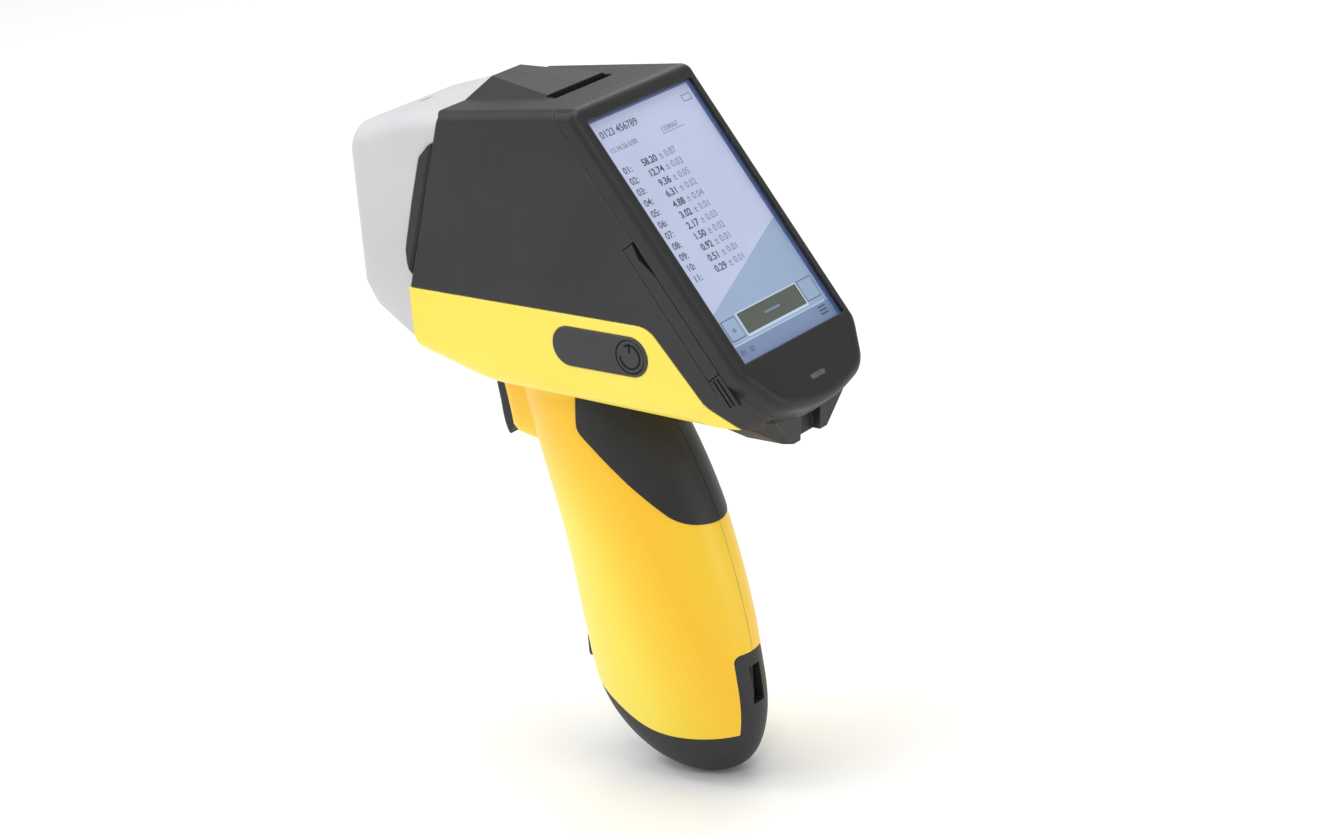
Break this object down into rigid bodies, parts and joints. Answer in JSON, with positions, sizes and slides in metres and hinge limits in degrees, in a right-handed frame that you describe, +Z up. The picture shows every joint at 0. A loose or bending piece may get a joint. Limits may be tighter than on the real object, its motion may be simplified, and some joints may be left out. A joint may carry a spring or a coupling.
{
  "type": "handheld xrf analyzer",
  "caption": "Pistol-grip X-ray fluorescence analyser with a tilted rear touch display, a trigger and a battery that drops out of the handle.",
  "frame": {"origin": "centre of the flat measuring face at the tip of the nose", "axes": "-X leaves the nose along the measured direction, +X is towards the display and the operator, +Z is up out of the handle, -Y is the operator's left"},
  "size_m": [0.1751, 0.0668, 0.2472],
  "materials": {
    "nose_paint": "satin powder coat, light grey",
    "plate_metal": "bead blasted",
    "film": "thin amber window film",
    "seal_rubber": "black",
    "screw_steel": "zinc plated",
    "red_led": "smoked red lens",
    "cover_plastic": "fine moulded grain, dark grey",
    "bezel_plastic": "fine moulded grain, near black",
    "shell_yellow": "satin, warm yellow",
    "grip_rubber": "soft touch, dark grey",
    "lens_glass": "clear cover glass",
    "panel_glass": "lit display panel",
    "board_green": "solder mask",
    "switch_plastic": "black",
    "led_clear": "smoked lens",
    "bracket_metal": "stamped sheet",
    "socket_steel": "stamped shell",
    "spring_steel": "drawn wire",
    "cell_wrap": "wrapped cell pack",
    "contact_brass": "plated contacts in a block",
    "tube_metal": "turned steel",
    "block_epoxy": "potted block",
    "keypad_plastic": "fine moulded grain, dark grey"
  },
  "bodies": {
    "analyzer_body": {"nose_cone": "nose_paint", "window_plate": "plate_metal", "window_film": "film", "window_seal": "seal_rubber", "window_screws": "screw_steel", "beam_led": "red_led", "left_side_insert": "grip_rubber", "right_side_insert": "grip_rubber", "left_cover": "cover_plastic", "right_cover": "cover_plastic", "port_cover_strap": "grip_rubber", "display_bezel": "bezel_plastic", "status_led": "led_clear", "display_lens": "lens_glass", "display_gasket": "seal_rubber", "display_panel": "panel_glass", "display_bracket": "bracket_metal", "main_board": "board_green", "board_posts": "contact_brass", "data_socket": "socket_steel", "rear_foot": "cover_plastic", "left_shell": "shell_yellow", "right_shell": "shell_yellow", "shell_screws": "screw_steel", "left_grip_pad": "grip_rubber", "right_grip_pad": "grip_rubber", "side_keypad": "keypad_plastic", "power_switch": "switch_plastic", "keypad_board": "board_green", "trigger_pin": "screw_steel", "trigger_switch": "switch_plastic", "trigger_spring": "spring_steel", "battery_contacts": "contact_brass", "latch_guide": "switch_plastic", "latch_spring": "spring_steel", "xray_tube": "tube_metal", "filter_motor": "tube_metal", "detector": "tube_metal", "chassis": "bracket_metal", "hv_supply": "block_epoxy", "heat_sink": "bracket_metal"},
    "trigger": {"trigger": "switch_plastic"},
    "power_button": {"power_button": "keypad_plastic"},
    "battery": {"battery_cap": "cover_plastic", "battery_pack": "cell_wrap", "strap_bar": "screw_steel"},
    "battery_latch": {"battery_latch": "keypad_plastic"},
    "port_cover": {"port_cover": "grip_rubber"},
    "filter_wheel": {"filter_wheel": "bracket_metal"}
  },
  "joints": [
    {"name": "trigger_pull", "type": "hinge", "parent": "analyzer_body", "child": "trigger", "pos_m": [0.0458, 0, -0.061], "axis": [0, -1, 0], "range_deg": [0, 8], "stiffness_Nm_per_rad": 0.1, "deforming": ["trigger_spring"]},
    {"name": "power_button_press", "type": "slide", "parent": "analyzer_body", "child": "power_button", "axis": [0, 1, 0], "range_m": [0, 0.0007], "stiffness_N_per_m": 800},
    {"name": "battery_slide", "type": "slide", "parent": "analyzer_body", "child": "battery", "axis": [0.1908, 0, -0.9816], "range_m": [0, 0.12]},
    {"name": "battery_latch_press", "type": "slide", "parent": "analyzer_body", "child": "battery_latch", "axis": [1, 0, 0], "range_m": [0, 0.0012], "stiffness_N_per_m": 900, "deforming": ["latch_spring"]},
    {"name": "port_cover_hinge", "type": "hinge", "parent": "analyzer_body", "child": "port_cover", "pos_m": [0.15301, -0.033, -0.03751], "axis": [0.7986, 0, 0.6018], "range_deg": [0, 95]},
    {"name": "filter_wheel_spin", "type": "hinge", "parent": "analyzer_body", "child": "filter_wheel", "pos_m": [0.01104, 0.01, -0.00163], "axis": [0.866, 0, 0.5], "continuous": true}
  ]
}
